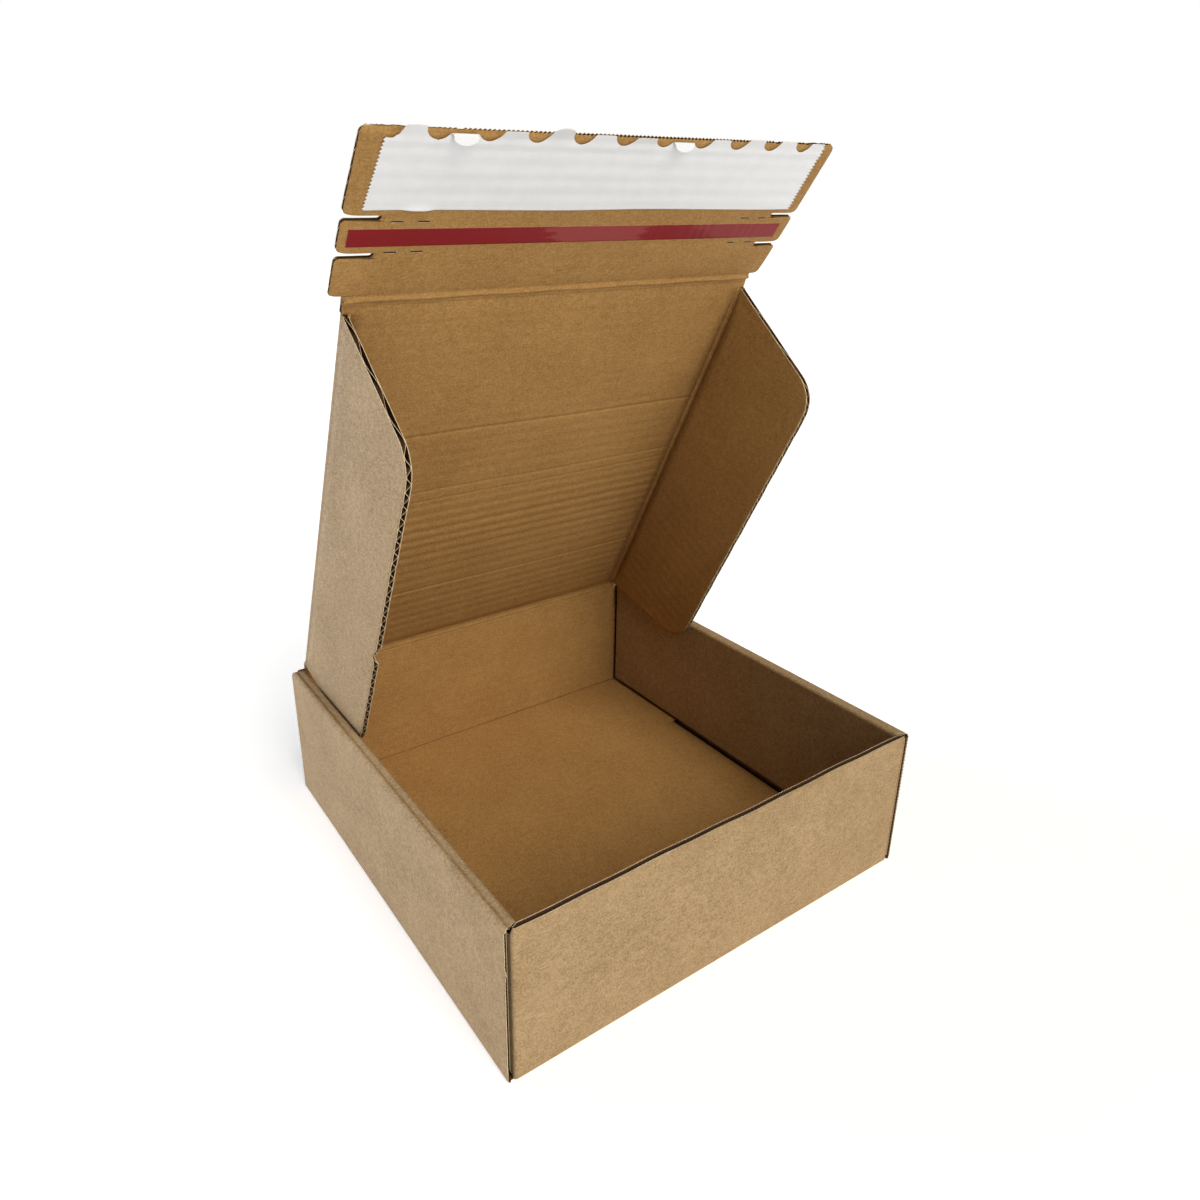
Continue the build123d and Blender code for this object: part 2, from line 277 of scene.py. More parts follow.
floor_top = at_plane(floor_x[None, :], floor_y[:, None],
                     BOARD - LINER / 2 + washboard(floor_y, 0.05)[:, None], (0, 0, 0), X, Y, Z)
sheet("floor_inner_liner", floor_top, inner_kraft, "tray", keep=board_there, hidden=1)
fold_start = HALF_WIDTH - FOLD
under_x = spaced(-fold_start, fold_start, 6, (-UNDER_SLOT, UNDER_SLOT, -wall_inner, wall_inner))
under_y = spaced(-HALF_DEPTH + FOLD, HALF_DEPTH - FOLD, 2.0, slot_ends)
middle_x = (under_x[1:] + under_x[:-1]) / 2
middle_y = (under_y[1:] + under_y[:-1]) / 2
in_slot = (np.abs(middle_x)[None, :] > UNDER_SLOT) & (np.abs(middle_x)[None, :] < wall_inner)
board_there = ~(in_slot & (np.abs(middle_y - PANEL_MIDDLE)[:, None] < SLOT_HALF))
underside = at_plane(under_x[None, :], under_y[:, None], np.full_like(under_y, LINER / 2)[:, None],
                     (0, 0, 0), X, Y, Z)
sheet("floor_outer_liner", underside[:, ::-1], outer_kraft, "tray",
      keep=board_there[:, ::-1], hidden=1)
flute_y = spaced(-HALF_DEPTH + BOARD, HALF_DEPTH - BOARD, FLUTE / 10)
floor_flutes = at_plane(np.array([-SLOT_INNER, SLOT_INNER])[None, :], flute_y[:, None],
                        BOARD / 2 + flute_wave(flute_y)[:, None], (0, 0, 0), X, Y, Z)
sheet("floor_flutes", floor_flutes, flute_kraft_painted_shade, "tray", MEDIUM)

# sides: outer wall, strip over the top and inner panel, rolled over as one path
FOOT = 31.0                             # ends of the panel's lower edge, cut higher
FOOT_HIGH, FOOT_LOW = BOARD + 2.35, BOARD + 0.15
TAB_HALF, TAB_TIP = 47.0, 0.05
STRIP_END = 2.9                         # strip's inner corner, back from the front
LEFT_OPEN = (1.0, 3.6)                  # left side's liners cut back at the raw front edge:
RIGHT_OPEN = (0.35, 0.45)               # outer and inner; the right side's stay closed
KNOCK_HIGH, KNOCK_DEEP = 57.0, 1.3      # where the left front edge has been knocked
SIDE_BOW, PANEL_BOW = 0.35, 0.12
TAB_SQUEEZE = (2.4, 0.9)                # outer and inner paper of the tab, pushed outwards


def panel_foot(y):
    """Height of the inner panel's lower edge: tab, contact with the floor, raised ends."""
    from_end = np.minimum(y - PANEL_FRONT, PANEL_BACK - y)
    foot = np.where(from_end < FOOT, FOOT_HIGH, FOOT_LOW)
    return np.where(np.abs(y - PANEL_MIDDLE) < TAB_HALF, TAB_TIP, foot)


def rolled_side(side, word):
    """Both liners and the flutes of one side, as profiles across it carried along Y."""
    ends = np.array([0, 0.7, 1.6, 2.8, 4.5, 7.0]) / 240
    length = PANEL_BACK - PANEL_FRONT
    cuts = np.array([FOOT, length / 2 - TAB_HALF, length / 2 + TAB_HALF, length - FOOT]) / length
    shares = spaced(0, 1, 1 / 60, [*ends, *(1 - ends), *cuts])
    for layer, inset, material in (("outer_liner", LINER / 2, outer_kraft),
                                   ("inner_liner", BOARD - LINER / 2, inner_kraft)):
        outer = layer == "outer_liner"
        x_out, x_in, top = HALF_WIDTH - inset, HALF_WIDTH - SIDE + inset, WALL_TOP - inset
        corners = [(x_out, inset), (x_out, top), (x_in, top), (x_in, FOOT_HIGH)]
        radii = [2.3, 1.7] if outer else [0.35, 0.35]
        if outer:
            corners, radii = [(HALF_WIDTH - FOLD, inset)] + corners, [FOLD - inset] + radii
        path = rounded_path(corners, radii)
        path = np.concatenate([path, [[x_in, FOOT_LOW], [x_in, TAB_TIP]]])
        along = np.concatenate([[0], np.cumsum(np.linalg.norm(np.diff(path, axis=0), axis=1))])
        past_wall = (path[:, 0] < x_out - 2) | (path[:, 1] > top - 3)
        across = np.clip((x_out - path[:, 0]) / (x_out - x_in), 0, 1) * past_wall
        on_panel = np.clip((across - 0.8) / 0.2, 0, 1)
        recess = (LEFT_OPEN if side < 0 else RIGHT_OPEN)[0 if outer else 1]
        front = (-HALF_DEPTH + across * STRIP_END + on_panel * (PANEL_FRONT + HALF_DEPTH - STRIP_END)
                 + recess * (1 - across) + saw(along))
        back = (HALF_DEPTH - 0.35 - across * STRIP_END
                - on_panel * (HALF_DEPTH - PANEL_BACK - STRIP_END) + saw(along + 0.7))
        y = front[None, :] + shares[:, None] * (back - front)[None, :]
        x = np.repeat(path[None, :, 0], len(shares), 0)
        z = np.repeat(path[None, :, 1], len(shares), 0)
        inside = (across > 0.99)[None, :]
        # the wide faces bow a little, the strip sags between its folds, the tab is squeezed
        # outwards in its slot, and the raw front edge is wavy with one knock in it
        bow = np.sin(np.clip(z / WALL_TOP, 0, 1) * np.pi)
        bow = bow * np.cos(np.clip(y / HALF_DEPTH, -1, 1) * np.pi / 2)
        x = x - np.where(inside, PANEL_BOW, SIDE_BOW) * bow
        z = z - 0.2 * (np.sin(np.pi * across) ** 2)[None, :]
        squeeze = TAB_SQUEEZE[0 if outer else 1] * np.clip((FOOT_HIGH - z) / 2.0, 0, 1)
        x = x + np.where(inside, squeeze, 0)
        on_wall = (across < 0.5)[None, :] & (z > 4) & (z < WALL_TOP - 4)
        edge = np.clip((-y - HALF_DEPTH + 2.6) / 2.6, 0, 1) * on_wall
        if outer and side < 0:
            knock = KNOCK_DEEP * np.exp(-((z - KNOCK_HIGH) / 2.2) ** 2)
            x = x - edge * (0.2 * np.sin(z * 0.4) * np.sin(z * 0.13) + knock)
            x = np.minimum(x, HALF_WIDTH - LINER / 2)
        points = np.stack([side * x, y, z], -1)
        row_y = PANEL_FRONT + (shares[1:] + shares[:-1]) / 2 * length
        keep = ~(inside[:, 1:] & ((path[1:, 1] + path[:-1, 1])[None] / 2 < panel_foot(row_y)[:, None]))
        sheet(f"{word}_side_{layer}", points, material, "tray", keep=keep,
              hidden=-side if outer else side)
    wall_start = -HALF_DEPTH + (6.5 if side < 0 else 0.5)
    for part, middle, first, last, base in (
            ("wall", HALF_WIDTH - BOARD / 2, wall_start, HALF_DEPTH - 2.4, 2.2),
            ("panel", HALF_WIDTH - SIDE + BOARD / 2, PANEL_FRONT + 1.5, PANEL_BACK - 1.5, 5.4)):
        y = spaced(first, last, FLUTE / 10)
        z = np.array([base, WALL_TOP - 3.0])
        x = middle + flute_wave(y + 2.0)[:, None] * np.ones((1, 2))
        x = x - 0.3 * np.cos(y / HALF_DEPTH * np.pi / 2)[:, None] * np.sin(z / WALL_TOP * np.pi)
        points = np.stack([side * x, np.repeat(y[:, None], 2, 1), np.repeat(z[None], len(y), 0)], -1)
        sheet(f"{word}_side_{part}_flutes", points, flute_kraft_painted_shade, "tray", MEDIUM)


rolled_side(-1, "left")
rolled_side(1, "right")

# front and back walls: each turns in at its ends as a dust flap inside the sides
hinge = {joint["name"]: joint for joint in frame["joints"]}
HINGE_Y, HINGE_Z = np.array(hinge["lid_hinge"]["pos_m"])[1:] / MM
LID_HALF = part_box("lid_panel")[1][0] / MM
END_OUT = wall_inner - 0.15             # outer face of a dust flap
DUST_FLAP = 60.0
DUST_TOP = WALL_TOP - BOARD - 1.5
CREASE = 3.0                            # reach of the bent board each side of a crease
END_BOW = 0.3


def rim_wander(x):
    """How far the front wall's top edge dips: two slow sines along it."""
    return 0.25 * np.sin(x * 0.06 + 0.8) + 0.15 * np.sin(x * 0.17)


def end_wall(end, word):
    """Liners and flutes of the front (-1) or back (1) wall, along a path in plan."""
    for layer, inset, material in (("outer_liner", LINER / 2, outer_kraft),
                                   ("inner_liner", BOARD - LINER / 2, inner_kraft)):
        outer = layer == "outer_liner"
        x_end = END_OUT - inset if outer else END_OUT - FLAP_CRUSHED + LINER / 2
        y_wall = HALF_DEPTH - inset
        y_back = HALF_DEPTH - BOARD - DUST_FLAP
        path = rounded_path([(-x_end, y_back), (-x_end, y_wall), (x_end, y_wall), (x_end, y_back)],
                            [1.5 if outer else 0.5] * 2)
        wall_share = np.clip((path[:, 1] - (y_wall - 2.5)) / 2.3, 0, 1)
        top = DUST_TOP + wall_share * (WALL_TOP - DUST_TOP)
        if end > 0:
            on_lid = np.abs(path[:, 0]) < LID_HALF
            top = np.where(on_lid & (wall_share > 0), HINGE_Z - CREASE, top)
        else:
            top = top - wall_share * (0.35 + rim_wander(path[:, 0])) + saw(path[:, 0]) * wall_share
        bottom = np.where(wall_share > 0.15, 0.0 if outer else BOARD - LINER, BOARD + 1.5)
        turns = np.linspace(0, math.pi / 2, 10) if outer else np.zeros(0)
        arc_in = (FOLD - inset) * (1 - np.sin(turns))
        arc_up = inset + (FOLD - inset) * (1 - np.cos(turns))
        heights = np.linspace(0, 1, 40 if outer else 110)
        z_low = np.maximum(bottom, arc_up[-1] if outer else bottom)
        z = z_low[None, :] + heights[:, None] * (top - z_low)[None, :]
        inward = np.zeros_like(z)
        if outer:
            fold_z = np.repeat(arc_up[:-1, None], len(path), 1)
            z = np.concatenate([np.maximum(fold_z, np.where(bottom > 1, z_low, 0)[None]), z])
            inward = np.concatenate([np.repeat(arc_in[:-1, None], len(path), 1), inward])
        x = np.repeat(path[None, :, 0], len(z), 0)
        y = path[None, :, 1] - inward * wall_share
        bow = np.sin(np.clip(z / WALL_TOP, 0, 1) * np.pi)
        bow = bow * np.cos(np.clip(x / HALF_WIDTH, -1, 1) * np.pi / 2)
        y = y - END_BOW * bow * wall_share
        if not outer:
            # flutes show through, and the score at each end is pressed in as a groove
            groove = 1.3 * np.exp(-((x_end - np.abs(x)) / 1.6) ** 2)
            y = y + wall_share * (groove - washboard(z, 0.07))
        points = np.stack([x, end * y, z], -1)
        sheet(f"{word}_wall_{layer}", points[:, ::-1] if end < 0 else points, material, "tray",
              hidden=-1 if outer else 1, raw=end < 0)
    z = spaced(FOLD + 0.5, (WALL_TOP - 2.2 if end < 0 else HINGE_Z - CREASE) - 0.7, FLUTE / 10)
    x = np.linspace(-END_OUT + 2.5, END_OUT - 2.5, 235)
    height = np.repeat(z[:, None], len(x), 1)
    if end < 0:
        height[-1] = WALL_TOP - 2.6 - rim_wander(x)
    y = HALF_DEPTH - BOARD / 2 + flute_wave(z + 1.2)[:, None] * np.ones(len(x))[None]
    y = y - END_BOW * np.sin(height / WALL_TOP * np.pi) * np.cos(x / HALF_WIDTH * np.pi / 2)[None]
    points = np.stack([np.repeat(x[None], len(z), 0), end * y, height], -1)
    sheet(f"{word}_wall_flutes", points, flute_kraft_painted_shade, "tray", MEDIUM)


end_wall(-1, "front")
end_wall(1, "back")

# ---------------------------------------------------------------- lid
# Flat panel of the same sheet, joined to the back wall by a scored crease. Its liner was
# drawn in over the flutes on the corrugator, and soft bends from handling cross it.
LID_LENGTH = 240.3                      # back crease to front crease
OPEN = math.radians(63.0)
EAR_START, EAR_STOP = 2.4, 234.3        # fold of an ear, from the back crease
LID_HINGE = (0.0, HINGE_Y, HINGE_Z)
LID_ALONG = np.array([0, -math.cos(OPEN), math.sin(OPEN)])
LID_IN = np.array([0, -math.sin(OPEN), -math.cos(OPEN)])
FACE = BOARD / 2 - LINER / 2            # a liner's mid-line, from the board's mid-line
# soft bends across the lid, from the back crease, and how deep each is
LID_BENDS, BEND_DEPTHS = (163.2, 125.4, 118.6, 47.0, LID_LENGTH - 13), (0.5, 0.42, 0.38, 0.38, 0.1)
EAR_CREASE = 1.2                        # room left for an ear's crease beside the lid


def board(word, body, place, p, q, dent=0.0, ribs=0.0, phase=0.0, crush=0.0,
          keep=None, trim=0.0, open_from=1e3):
    """A flat panel of three papers on one grid: p across the flutes and q along them, in
    the axes (origin, p, q, n) of place. The faces lie FACE either side of the middle and
    the medium is a sine of p between them. dent lifts all three along n, crush presses
    the inner face towards the outer one, and trim moves the cut edge along p. keep marks
    the cells that are there, and the flutes stop at open_from."""
    p, q = np.broadcast_arrays(p[:, None] if p.ndim == 1 else p, q)
    left = 1 - crush / (2 * FACE)
    origin, p_axis, q_axis, n_axis = place
    for layer, height, material, thickness in (
            ("outer_liner", -FACE - washboard(p + phase, 0.03), outer_kraft, LINER),
            ("flutes", flute_wave(p + phase) * left - crush / 2, flute_kraft_painted_shade, MEDIUM),
            ("inner_liner", FACE - crush + ribs * left * washboard(p + phase + FLUTE / 2, 1.0),
             inner_kraft, LINER)):
        points = at_plane(p + trim, q, height + dent, origin, p_axis, q_axis, n_axis)
        cut_short = layer == "flutes" and keep is not None
        there = keep & (p[1:, 1:] < open_from) if cut_short else keep
        # liner faces turned into the board get the fluting's darkened paper as painted shade
        facing = np.sign(np.cross(p_axis, q_axis) @ np.array(n_axis))
        hidden = {"outer_liner": facing, "flutes": 0, "inner_liner": -facing}[layer]
        sheet(f"{word}_{layer}", points, material, body, thickness, there, hidden, word != "lid")


def stations(start, stop, step, cuts=()):
    """Even stations from start to stop, with a close pair of them at each cut."""
    close = np.array([[cut - 0.01, cut + 0.01] for cut in cuts]).ravel()
    return np.sort(np.concatenate([spaced(start, stop, step), close]))


def bend_lines(across, places, depths, width=0.9):
    """Sum of narrow bell-shaped grooves at the given places."""
    offset = across[..., None] - np.array(places)
    return -(np.array(depths) * np.exp(-(offset / width) ** 2)).sum(-1)


SCORE_DEPTH, SCORE_REACH = 1.4, 3.2     # board crushed at a crease, and how far it spreads


def scored(distance):
    """Crush of the board near a crease: an exponential of the distance from it."""
    return SCORE_DEPTH * np.exp(-distance / SCORE_REACH)


lid_d = stations(CREASE, LID_LENGTH - CREASE, FLUTE / 11, (EAR_START, EAR_STOP))
lid_d = lid_d[lid_d >= CREASE]
ear_there = (lid_d > EAR_START) & (lid_d < EAR_STOP)
lid_reach = np.where(ear_there, LID_HALF - BOARD - EAR_CREASE, LID_HALF - 0.1)
lid_q = np.linspace(-1, 1, 33)[None, :] * lid_reach[:, None]
lid_d2 = np.repeat(lid_d[:, None], lid_q.shape[1], 1)
# the flutes show most two fifths of the way up and near the back crease
ribs = 0.07 + 0.22 * np.exp(-((lid_d2 - 97) / 38) ** 2) + 0.10 * np.exp(-((lid_d2 - 40) / 30) ** 2)
ribs = ribs * np.clip((LID_LENGTH - lid_d2 - 8) / 12, 0, 1)
wander = lid_q * 0.004 * np.sin(lid_d2 * 0.05) + 0.25 * np.sin(lid_q * 0.045 + 0.4)
dents = bend_lines(lid_d2 + wander, LID_BENDS, BEND_DEPTHS)
dents = dents + 0.25 * np.sin(lid_d2 * 0.021 + 0.5) * np.cos(lid_q / LID_HALF * np.pi / 2)
lid_place = (LID_HINGE, LID_ALONG, X, LID_IN)
board("lid", "lid", lid_place, lid_d, lid_q, dents, ribs,
      crush=scored(LID_LENGTH - lid_d2) + scored(lid_d2))


def crease(word, bodies, hinge, first, second, inward_first, inward_second, reaches, half, bead):
    """Two papers across a fold, on one path: the inner one dips with the crush on both
    sides and stands up in a bead along the score. The piece rides on no body; the CAD parts of bodies
    are hidden."""
    hinge, first, second = np.array(hinge), np.array(first), np.array(second)
    run = np.concatenate([np.linspace(-reaches[0], 0, 14), np.linspace(0, reaches[1], 14)[1:]])
    before = (run < 0)[:, None]
    along = np.where(before, first[None], second[None]) * np.abs(run)[:, None]
    turned = np.clip(run / 1.4, -1, 1)[:, None] / 2 + 0.5
    normal = (1 - turned) * np.array(inward_first)[None] + turned * np.array(inward_second)[None]
    normal = normal / np.linalg.norm(normal, axis=1)[:, None]
    x = np.linspace(-half, half, 120)
    for layer, sign, material in (("outer_liner", -1, outer_kraft),
                                  ("inner_liner", 1, inner_kraft)):
        height = np.full((len(run), len(x)), sign * FACE)
        if sign > 0:
            raised = bead * (1 + 0.12 * np.sin(x * 0.15))[None] * np.exp(-run ** 2)[:, None]
            height = height - scored(np.abs(run))[:, None] + raised
        points = (hinge + along)[:, None, :] + height[..., None] * normal[:, None, :]
        points[..., 0] += x[None, :]
        piece = sheet(f"{word}_{layer}", points, material, None, raw=False)
        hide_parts(*(STANDS_FOR[body] for body in bodies))
        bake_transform(piece)


# back crease: board scored flat, so that the lid folds where it should
crease("back_crease", ("tray", "lid"), LID_HINGE, -Z, LID_ALONG, -Y, LID_IN,
       (CREASE, CREASE), LID_HALF - 0.1, 0.7)

# ---------------------------------------------------------------- ears
# A wing folded down from each side of the lid, flutes at right angles to the fold. Both
# ends lean in and the corners are round, so that it slides inside the tray.
EAR_DEPTH = 74.0
ear_lean = EAR_DEPTH * math.tan(math.radians(14))
outline = rounded_path([(EAR_START, 1.5), (EAR_START + ear_lean, EAR_DEPTH),
                        (EAR_STOP - ear_lean, EAR_DEPTH), (EAR_STOP, 1.5)], [21, 17])
ear_a = spaced(EAR_START + 0.05, EAR_STOP - 0.05, FLUTE / 11)
EAR_FOOT = 2.6                          # where the flat of the ear starts, above its fold
NICK = (93.5, 104.5, 2.4)               # the left ear's nick: from, to, and how deep


def ear(side, word):
    """Panel whose length along the flutes is the outline's height above the fold."""
    joint_x = hinge[f"{word}_ear_hinge"]["pos_m"][0] / MM
    depth = np.interp(ear_a, outline[:, 0], outline[:, 1])
    if side < 0:
        # edge knocked against something: a shallow nick with its papers pressed together
        nick = np.clip(np.minimum((ear_a - NICK[0]) / 2.6, (NICK[1] - ear_a) / 8.4), 0, 1)
        depth = depth - NICK[2] * nick
        crush = 1.5 * np.sqrt(nick)
    else:
        crush = 0 * ear_a
    depth = depth + 0.12 * np.sin(ear_a * 0.33) * np.sin(ear_a * 0.071)
    share = np.concatenate([np.linspace(0, 0.9, 12), np.linspace(0.93, 1, 5)])
    q = EAR_FOOT + share[None, :] * np.maximum(depth - EAR_FOOT, 0.02)[:, None]
    a = np.repeat(ear_a[:, None], q.shape[1], 1)
    bow = 0.3 * (1 + np.sin(a * 0.02 + 1.0)) * (q / EAR_DEPTH) ** 2
    pressed = crush[:, None] * np.clip((share - 0.9) / 0.08, 0, 1)[None, :]
    place = ((joint_x + side * BOARD / 2, HINGE_Y, HINGE_Z), LID_ALONG, LID_IN, -side * X)
    ribs = 0.07 + 0.03 * np.sin(a * 0.03)
    board(f"{word}_ear", f"{word}_ear", place, ear_a, q, bow, ribs, 1.1, pressed)
    # fold between lid and ear
    start_x = LID_HALF - BOARD - EAR_CREASE
    for layer, corners, radii, material in (
            ("outer_liner", [(start_x, -FACE), (LID_HALF - LINER / 2, -FACE),
                             (LID_HALF - LINER / 2, EAR_FOOT)], [FOLD], outer_kraft),
            ("inner_liner", [(start_x, FACE), (LID_HALF - BOARD + LINER / 2, FACE),
                             (LID_HALF - BOARD + LINER / 2, EAR_FOOT)], [0.15], inner_kraft)):
        path = rounded_path(corners, radii, 0.4)
        stretch = spaced(EAR_START, EAR_STOP, 2.4)
        points = at_plane(stretch[None, :], side * path[:, :1], path[:, 1:],
                          LID_HINGE, LID_ALONG, X, LID_IN)
        piece = sheet(f"{word}_ear_crease_{layer}", points, material, None, raw=False)
        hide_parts("lid_panel", f"{word}_ear")
        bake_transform(piece)


ear(-1, "left")
ear(1, "right")

# ---------------------------------------------------------------- front flap
# Last panel of the sheet: a neck at the crease, then full width. Two notches at each end
# and short slits beyond them mark out the strip that the tape tears away.
FLAP_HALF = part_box("front_flap")[1][0] / MM
FLAP_LENGTH = 75.8
FLAP_TURN = math.radians(63.0 - 9.7)
FRONT_CREASE = np.array(hinge["front_flap_hinge"]["pos_m"]) / MM
FLAP_ALONG = np.array([0, -math.cos(FLAP_TURN), math.sin(FLAP_TURN)])
FLAP_IN = np.array([0, -math.sin(FLAP_TURN), -math.cos(FLAP_TURN)])
NECK = 2.4
NOTCHES = (21.4, 38.4)                  # mid-lines of the notches, from the crease
NOTCH_HALF = 1.5
NOTCH_LENGTH = 15.7
NOTCH_MOUTH = 1.9                       # radius of the rounded corners at a notch's mouth
SLIT_LINES = (22.9, 36.9)
SLIT_LENGTH, SLIT_START, SLIT_PITCH, SLIT_HALF = 5.3, 3.6, 11.3, 0.35


def flap_face(d, x):
    """Soft warp of the flap: hollow low down and curled towards the front at its free
    edge on the left, leaning back a little on the right."""
    left = np.clip(0.5 - x / 240, 0, 1)
    hollow = -1.0 * left * np.sin(np.pi * np.clip(d, 0, 58) / 58)
    curled = 1.9 * left * np.clip((d - 45) / 31, 0, 1) ** 1.5
    return hollow + curled + 0.2 * np.sin(d * 0.055 + 0.6) - 0.11


def flap_reach(d):
    """Half width at d: neck, then full width with rounded corners, less each notch."""
    reach = np.where(d < NECK, LID_HALF - 0.1, FLAP_HALF - 0.1)
    for corner, radius in ((FLAP_LENGTH, 3.0), (NECK, 0.8)):
        inside = np.clip(radius - np.abs(corner - d), 0, radius)
        reach = np.where(d > NECK, reach - radius + np.sqrt(radius ** 2 - inside ** 2), reach)
    for middle in NOTCHES:
        away = np.abs(d - middle)
        mouth = np.clip(NOTCH_MOUTH - (away - NOTCH_HALF), 0, NOTCH_MOUTH)
        reach = np.where(away >= NOTCH_HALF,
                         reach - NOTCH_MOUTH + np.sqrt(NOTCH_MOUTH ** 2 - mouth ** 2), reach)
        round_end = NOTCH_HALF - np.sqrt(np.clip(NOTCH_HALF ** 2 - away ** 2, 0, None))
        reach = np.where(away < NOTCH_HALF, FLAP_HALF - NOTCH_LENGTH + round_end, reach)
    return reach


cuts = [NECK] + [m + s * NOTCH_HALF for m in NOTCHES for s in (-1, 1)]
slit_rows = [line + s * SLIT_HALF for line in SLIT_LINES for s in (-1, 1)]
slit_outer = [FLAP_HALF - NOTCH_LENGTH - SLIT_START - SLIT_PITCH * i for i in range(2)]
flap_d = stations(NECK - 0.2, FLAP_LENGTH, FLUTE / 14, cuts)
flap_d = np.unique(np.concatenate([flap_d, slit_rows, FLAP_LENGTH - np.linspace(0, 3, 9) ** 2 / 3,
                                   [m + v for m in NOTCHES for v in np.linspace(-3.2, 3.2, 27)]]))
slit_x = [outer_end - SLIT_LENGTH * e for outer_end in slit_outer for e in (0, 1)]
FIXED = 98.8                            # columns further out than this follow the outline
fixed_x = spaced(0, 90, 1.0)
fixed_x = np.unique(np.concatenate([fixed_x[fixed_x < 80], slit_x, np.linspace(81, FIXED, 18)]))
outer_share = 1 - (1 - np.linspace(0, 1, 15)[1:]) ** 1.6
half_q = np.concatenate([np.repeat(fixed_x[None], len(flap_d), 0),
                         FIXED + outer_share[None] * (flap_reach(flap_d) - FIXED)[:, None]], 1)
flap_q = np.concatenate([-half_q[:, :0:-1], half_q], 1)
middle_q = (half_q[0, 1:] + half_q[0, :-1]) / 2
middle_d = (flap_d[1:] + flap_d[:-1]) / 2
in_slit = np.zeros((len(flap_d) - 1, flap_q.shape[1] - 1), bool)
all_middles = np.abs(np.concatenate([-middle_q[::-1], middle_q]))
for line in SLIT_LINES:
    for outer_end in slit_outer:
        in_slit |= ((np.abs(middle_d - line) < SLIT_HALF)[:, None]
                    & ((all_middles < outer_end) & (all_middles > outer_end - SLIT_LENGTH))[None])
flap_p = np.repeat(flap_d[:, None], flap_q.shape[1], 1)
top_share = np.clip((flap_p - (FLAP_LENGTH - 1.5)) / 1.5, 0, 1)
flap_dent = flap_face(flap_p, flap_q)
flap_place = (tuple(FRONT_CREASE), FLAP_ALONG, X, FLAP_IN)
flap_ribs = 0.06 * np.clip((flap_p - 5) / 8, 0, 1)
# the knife has pressed the board thin along its free edges, the upper left one most
upper = 1.55 - 0.35 * np.tanh((flap_q + 40) / 30)
pressed = (upper * np.exp(-np.abs(FLAP_LENGTH - flap_p) / 1.5)
           + 0.9 * np.exp(-np.abs(flap_reach(flap_d)[:, None] - np.abs(flap_q)) / 1.3))
board("front_flap", "front_flap", flap_place, flap_p, flap_q, flap_dent, flap_ribs, 0.0,
      np.minimum(scored(flap_p) + pressed, 2.0), ~in_slit,
      top_share * (saw(flap_q) - TOOTH_CUT), FLAP_LENGTH - 1.8)

crease("front_crease", ("lid", "front_flap"), FRONT_CREASE, -LID_ALONG, FLAP_ALONG,
       LID_IN, FLAP_IN, (CREASE, NECK - 0.2), LID_HALF - 0.1, 2.1)

# ---------------------------------------------------------------- tear tape
# Clear polypropylene film, red on its back, 8 mm wide, stuck along the tear strip.
# Where the glue has wetted the board it looks deep red; elsewhere trapped air pales it.
TAPE_LEFT, TAPE_RIGHT = -115.3, 111.6
TAPE_LOW, TAPE_HIGH = 25.9, 33.9        # its edges, from the front crease


def surface(place, p, q, lift):
    """Points just above a panel's inner face."""
    origin, p_axis, q_axis, n_axis = place
    return at_plane(p, q, BOARD / 2 + lift, origin, p_axis, q_axis, n_axis)


def tear_film():
    """Red film: gloss of plastic over a red layer, mottled where it has not wetted out."""
    material, tree, place = bare_material("red_film")
    wetted = add(tree, "Attribute", {"attribute_name": "wetted"})
    mottle = add(tree, "TexNoise", Vector=place, Scale=1 / 0.0022, Detail=3.0, Roughness=0.6)
    share = add(tree, "Math", {"operation": "MULTIPLY_ADD", "use_clamp": True},
                input0=mottle.outputs[0], input1=0.5, input2=-0.25)
    share = add(tree, "Math", {"operation": "ADD", "use_clamp": True},
                input0=share.outputs[0], input1=wetted.outputs["Fac"])
    colour = add(tree, "Mix", {"data_type": "RGBA"}, Factor=share.outputs[0],
                 input6=linear("#923E3C"), input7=linear("#832024"))
    bump = add(tree, "Bump", Height=mottle.outputs[0], Strength=0.15, Distance=0.0002)
    shader = add(tree, "BsdfPrincipled", Base_Color=colour.outputs[2], Normal=bump.outputs[0],
                 Roughness=0.38, IOR=1.49, Specular_IOR_Level=0.16)
    add(tree, "OutputMaterial", Surface=shader.outputs[0])
    return material


tape_d = spaced(TAPE_LOW, TAPE_HIGH, 0.5)
tape_x = spaced(TAPE_LEFT, TAPE_RIGHT, 0.6)
tape_d2, tape_x2 = np.meshgrid(tape_d, tape_x, indexing="ij")
ripple = np.sin(tape_x2 * 0.9 + np.sin(tape_x2 * 0.21) * 3)
ripple = 0.06 * ripple * np.exp(-((tape_x2 - 62) / 45) ** 2)
on_board = surface(flap_place, tape_d2, tape_x2, 0.07 + flap_face(tape_d2, tape_x2) + ripple)
tape = sheet("tear_tape_film", on_board, tear_film(), "front_flap", 0.1,
             node="tear_tape")
# patches of glue that has wetted: dark, pale, dark, pale, with ragged slanting fronts
ragged = (1.8 * np.sin(tape_d2 * 1.7 + 0.3) + 1.1 * np.sin(tape_d2 * 4.1 + 1.2)
          + 0.5 * np.sin(tape_x2 * 1.9 + tape_d2 * 2.3))
# each front: where it is on the tape's mid-line, its slant, its raggedness and its step
fronts = ((-24, -0.9, 4, -1.0), (26, 0.6, 2.5, 1.0), (63, -2.6, 3, -0.38))
wetted = np.ones_like(tape_x2)
for middle, slant, roughness, step in fronts:
    behind = tape_x2 - middle - slant * (tape_d2 - 30) - ragged * roughness / 2.5
    wetted = wetted + step / (1 + np.exp(-np.clip(behind / 0.5, -30, 30)))
values = wetted.astype(np.float32).ravel()
tape.data.attributes.new("wetted", "FLOAT", "POINT").data.foreach_set("value", values)

